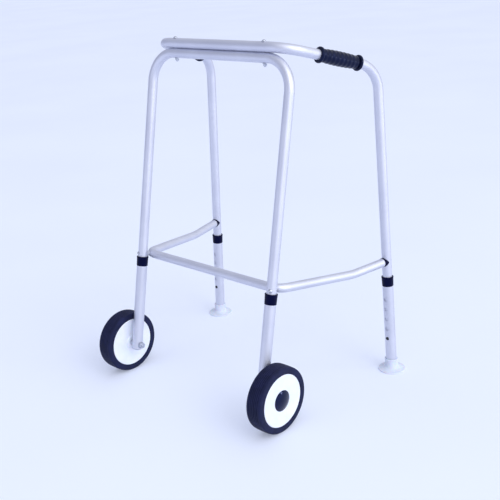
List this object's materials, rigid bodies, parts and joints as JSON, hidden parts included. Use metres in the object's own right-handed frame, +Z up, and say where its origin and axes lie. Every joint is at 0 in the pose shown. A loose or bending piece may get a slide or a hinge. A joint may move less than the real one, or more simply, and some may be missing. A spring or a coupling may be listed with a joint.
{
  "type": "walking frame",
  "caption": "Height-adjustable bent-tube walking frame with handgrips, a U-shaped brace, wheels on the front legs and flared rubber feet at the back.",
  "frame": {"origin": "on the floor, in the middle of the frame's outer box", "axes": "+Z up, +X to the left of the user and +Y towards the user, so the wheels are at -Y"},
  "size_m": [0.65, 0.4844, 0.8076],
  "materials": {
    "anodised_aluminium": "satin silver anodised drawn tube",
    "black_grip_vinyl": "ribbed moulded vinyl",
    "black_nylon": "moulded, slight sheen",
    "gloss_black_abs": "glossy moulded",
    "tyre_rubber": "matt rubber, finely ribbed tread",
    "white_rubber": "moulded white rubber",
    "white_polypropylene": "smooth moulded",
    "black_acetal": "moulded",
    "spring_steel": "blued strip",
    "natural_nylon": "turned",
    "grey_plastic": "moulded",
    "zinc_steel": "bright zinc plate"
  },
  "bodies": {
    "frame": {"front_frame_tube": "anodised_aluminium", "handle_frame_tube": "anodised_aluminium", "brace_tube": "anodised_aluminium", "front_brace_saddles": "grey_plastic", "rear_brace_saddles": "black_nylon", "left_grip": "black_grip_vinyl", "right_grip": "black_grip_vinyl", "frame_bolts": "zinc_steel", "frame_washers": "zinc_steel", "frame_nuts": "zinc_steel", "brace_bolts": "zinc_steel", "brace_nuts": "zinc_steel", "brace_end_screws": "zinc_steel", "front_left_button_spring": "spring_steel", "front_right_button_spring": "spring_steel", "rear_left_button_spring": "spring_steel", "rear_right_button_spring": "spring_steel"},
    "front_left_leg": {"front_left_lower_leg": "anodised_aluminium", "front_left_collar": "black_nylon", "front_left_leg_plug": "grey_plastic", "left_axle_bolt": "zinc_steel", "left_axle_nut": "zinc_steel", "left_axle_washers": "zinc_steel", "left_axle_spacer": "grey_plastic"},
    "rear_left_leg": {"rear_left_lower_leg": "anodised_aluminium", "rear_left_collar": "black_nylon", "rear_left_foot": "white_rubber"},
    "left_wheel": {"left_tyre": "tyre_rubber", "left_wheel_outer_half": "white_polypropylene", "left_wheel_inner_half": "white_polypropylene", "left_wheel_bush": "natural_nylon", "left_hub_cap": "gloss_black_abs"},
    "front_left_button": {"front_left_button": "black_acetal"},
    "rear_left_button": {"rear_left_button": "black_acetal"},
    "front_right_leg": {"front_right_lower_leg": "anodised_aluminium", "front_right_collar": "black_nylon", "front_right_leg_plug": "grey_plastic", "right_axle_bolt": "zinc_steel", "right_axle_nut": "zinc_steel", "right_axle_washers": "zinc_steel", "right_axle_spacer": "grey_plastic"},
    "rear_right_leg": {"rear_right_lower_leg": "anodised_aluminium", "rear_right_collar": "black_nylon", "rear_right_foot": "white_rubber"},
    "right_wheel": {"right_tyre": "tyre_rubber", "right_wheel_outer_half": "white_polypropylene", "right_wheel_inner_half": "white_polypropylene", "right_wheel_bush": "natural_nylon", "right_hub_cap": "gloss_black_abs"},
    "front_right_button": {"front_right_button": "black_acetal"},
    "rear_right_button": {"rear_right_button": "black_acetal"}
  },
  "joints": [
    {"name": "front_left_leg_height", "type": "slide", "parent": "frame", "child": "front_left_leg", "axis": [0, -0.2081, -0.9781], "range_m": [0, 0.1], "deforming": ["front_left_button"]},
    {"name": "front_left_button_press", "type": "slide", "parent": "frame", "child": "front_left_button", "axis": [0, -0.9781, 0.2081], "range_m": [0, 0.004], "stiffness_N_per_m": 1200, "springref_m": -0.002, "deforming": ["front_left_button_spring"]},
    {"name": "rear_left_leg_height", "type": "slide", "parent": "frame", "child": "rear_left_leg", "axis": [-0.0489, 0, -0.9988], "range_m": [0, 0.1], "deforming": ["rear_left_button"]},
    {"name": "rear_left_button_press", "type": "slide", "parent": "frame", "child": "rear_left_button", "axis": [0, 1, 0], "range_m": [0, 0.004], "stiffness_N_per_m": 1200, "springref_m": -0.002, "deforming": ["rear_left_button_spring"]},
    {"name": "left_wheel_spin", "type": "hinge", "parent": "front_left_leg", "child": "left_wheel", "pos_m": [-0.2466, -0.16725, 0.075], "axis": [1, 0, 0], "continuous": true},
    {"name": "front_right_leg_height", "type": "slide", "parent": "frame", "child": "front_right_leg", "axis": [0, -0.2081, -0.9781], "range_m": [0, 0.1], "deforming": ["front_right_button"]},
    {"name": "front_right_button_press", "type": "slide", "parent": "frame", "child": "front_right_button", "axis": [0, -0.9781, 0.2081], "range_m": [0, 0.004], "stiffness_N_per_m": 1200, "springref_m": -0.002, "deforming": ["front_right_button_spring"]},
    {"name": "rear_right_leg_height", "type": "slide", "parent": "frame", "child": "rear_right_leg", "axis": [0.0489, 0, -0.9988], "range_m": [0, 0.1], "deforming": ["rear_right_button"]},
    {"name": "rear_right_button_press", "type": "slide", "parent": "frame", "child": "rear_right_button", "axis": [0, 1, 0], "range_m": [0, 0.004], "stiffness_N_per_m": 1200, "springref_m": -0.002, "deforming": ["rear_right_button_spring"]},
    {"name": "right_wheel_spin", "type": "hinge", "parent": "front_right_leg", "child": "right_wheel", "pos_m": [0.2466, -0.16725, 0.075], "axis": [1, 0, 0], "continuous": true}
  ]
}
